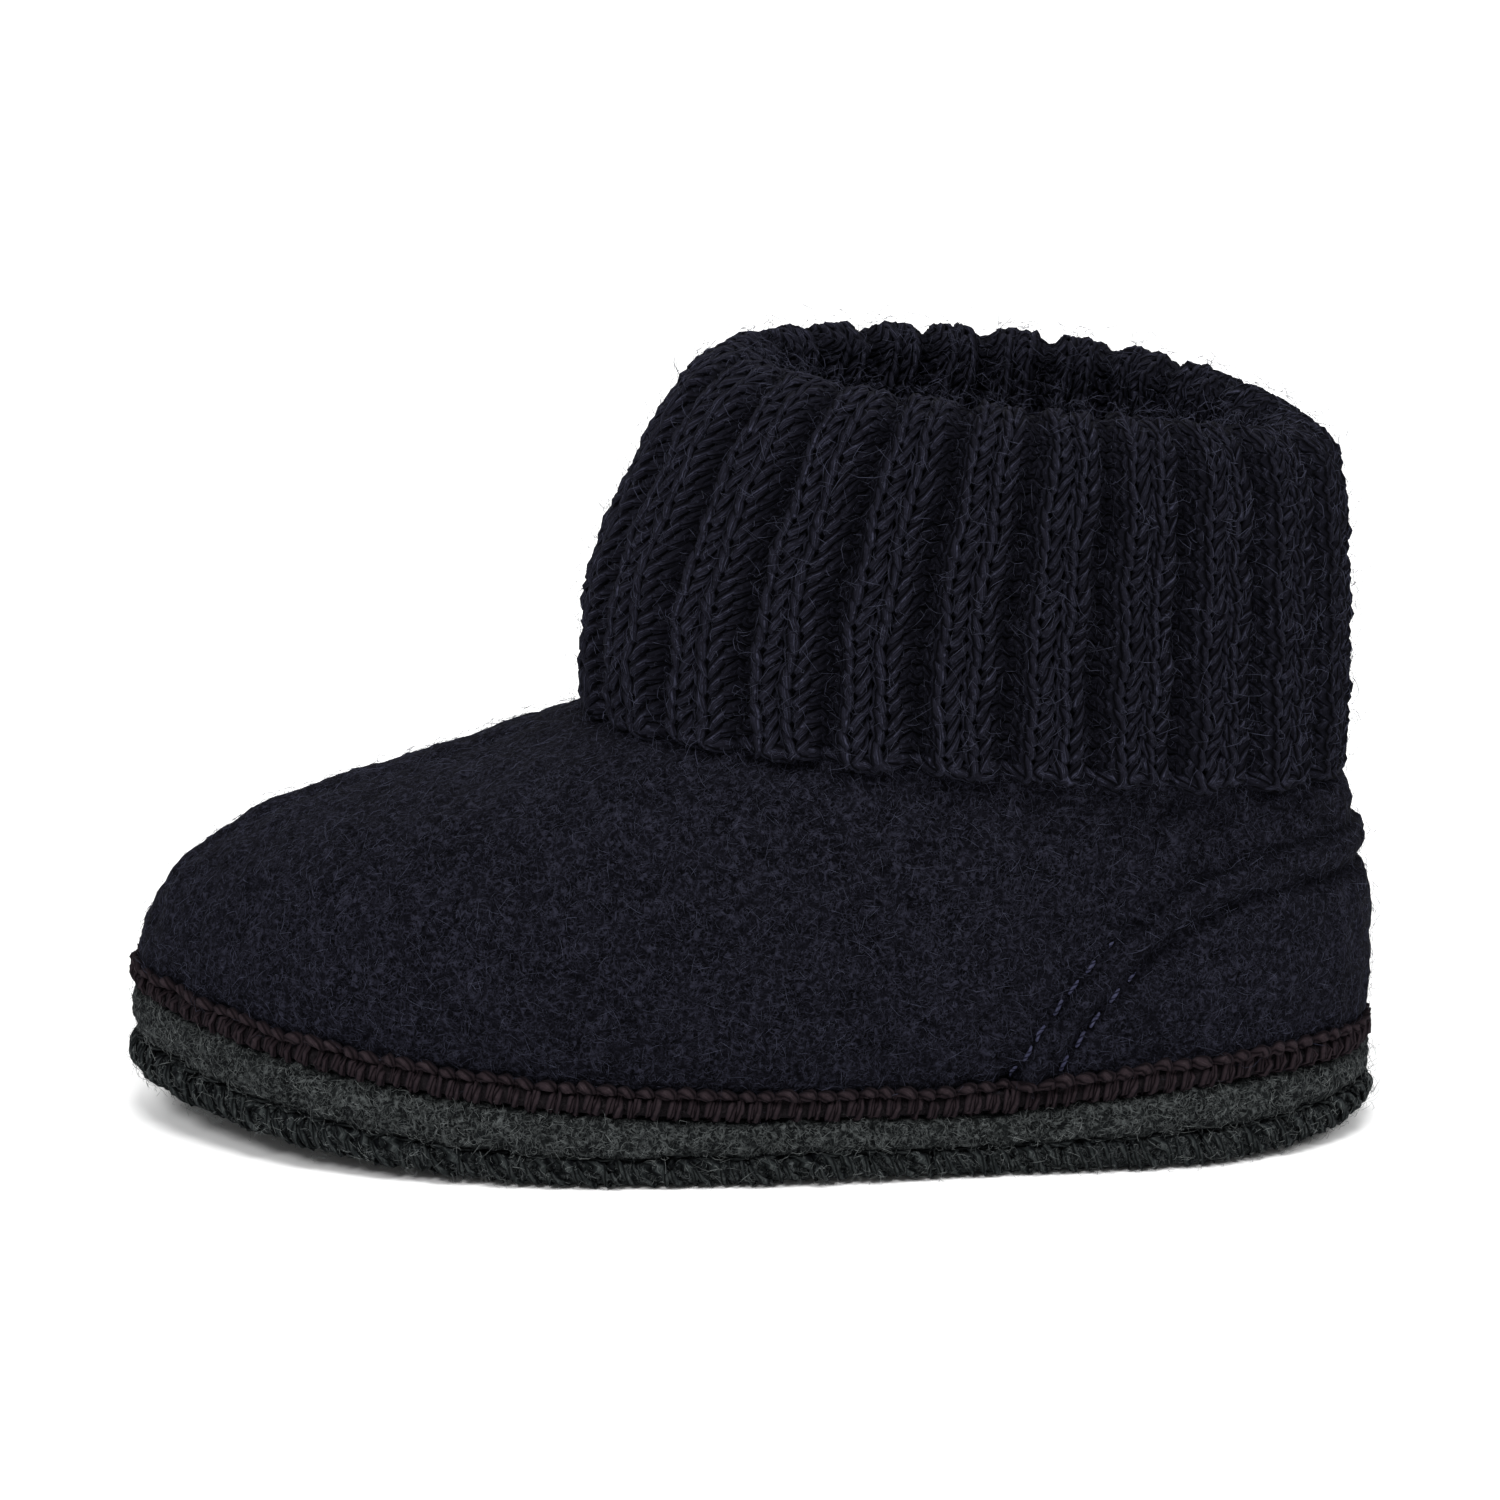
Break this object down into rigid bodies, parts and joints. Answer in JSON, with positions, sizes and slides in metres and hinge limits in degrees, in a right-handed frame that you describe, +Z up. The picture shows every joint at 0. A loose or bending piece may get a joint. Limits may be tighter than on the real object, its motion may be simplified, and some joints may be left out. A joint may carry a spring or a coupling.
{
  "type": "wool slipper",
  "caption": "Left ankle-high felted wool bootee slipper with a turned-down rib-knit cuff, a heel counter and a layered felt sole.",
  "frame": {"origin": "on the floor under the middle of the slipper's bounding box", "axes": "+Z up, the toe towards -X, the outer side of the foot towards -Y"},
  "size_m": [0.1908, 0.076, 0.1217],
  "materials": {
    "sole_felt_dark": "dense charcoal felt, rough",
    "sole_felt": "heathered grey-green felt, rough",
    "seam_yarn": "brown overlock yarn, matt",
    "insole_felt": "grey felt, rough",
    "upper_felt": "matted navy wool felt with a soft nap",
    "cuff_knit": "navy plied wool yarn, matt"
  },
  "bodies": {
    "root": {"outsole": "sole_felt_dark", "midsole": "sole_felt", "seam_band": "seam_yarn", "insole": "insole_felt", "upper": "upper_felt", "heel_counter": "upper_felt", "cuff": "cuff_knit"}
  },
  "joints": []
}
